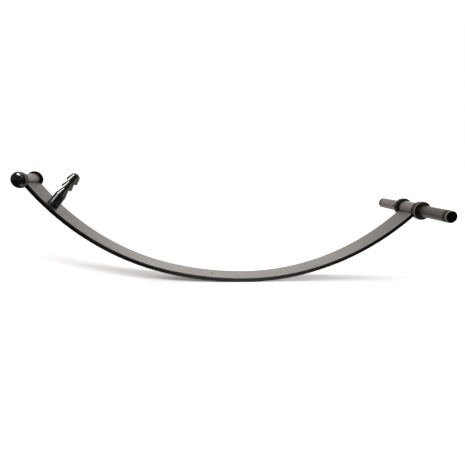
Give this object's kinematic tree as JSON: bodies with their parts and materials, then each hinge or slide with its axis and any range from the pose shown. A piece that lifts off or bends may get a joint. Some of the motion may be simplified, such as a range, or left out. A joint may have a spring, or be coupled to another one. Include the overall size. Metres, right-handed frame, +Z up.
{
  "type": "arched accessory bar",
  "caption": "Arched flat steel bar with a cross sleeve on each end, domed caps, a turning cross handle held by collars, and a barbed push-on plug.",
  "frame": {"origin": "on the floor plane, under the middle of the overall box", "axes": "+X along the bar from the capped hub to the handle hub, +Y across the bar to the rear, +Z up"},
  "size_m": [0.965, 0.302, 0.2664],
  "materials": {
    "bar_coat": "satin black coat, warm grey where the light rakes it",
    "handle_coat": "satin black coat with fine lengthwise streaks",
    "collar_steel": "semi-gloss black coat",
    "ring_plastic": "satin black",
    "bush_plastic": "satin black",
    "cap_gloss": "polished black",
    "plug_gloss": "polished black",
    "end_plug_plastic": "semi-gloss black",
    "ring_rubber": "matt black",
    "brass": "turned",
    "screw_steel": "black oxide"
  },
  "bodies": {
    "frame": {"arc_bar": "bar_coat", "cap_hub_sleeve": "bar_coat", "handle_hub_sleeve": "bar_coat", "cap_hub_welds": "bar_coat", "handle_hub_welds": "bar_coat", "cap_ring_front": "ring_plastic", "cap_ring_rear": "ring_plastic", "dome_cap_front": "cap_gloss", "dome_cap_rear": "cap_gloss", "handle_bush_front": "bush_plastic", "handle_bush_rear": "bush_plastic", "plug_base_ring": "ring_plastic", "plug_body": "plug_gloss", "plug_insert": "brass", "plug_screw": "screw_steel"},
    "handle": {"handle_tube": "handle_coat", "collar_front": "collar_steel", "collar_rear": "collar_steel", "collar_screws": "screw_steel", "handle_end_plug_front": "end_plug_plastic", "handle_end_plug_rear": "end_plug_plastic", "handle_groove_ring_front": "ring_rubber", "handle_groove_ring_rear": "ring_rubber"}
  },
  "joints": [
    {"name": "handle_spin", "type": "hinge", "parent": "frame", "child": "handle", "pos_m": [0.46049, 0, 0.17417], "axis": [0, 1, 0], "continuous": true}
  ]
}
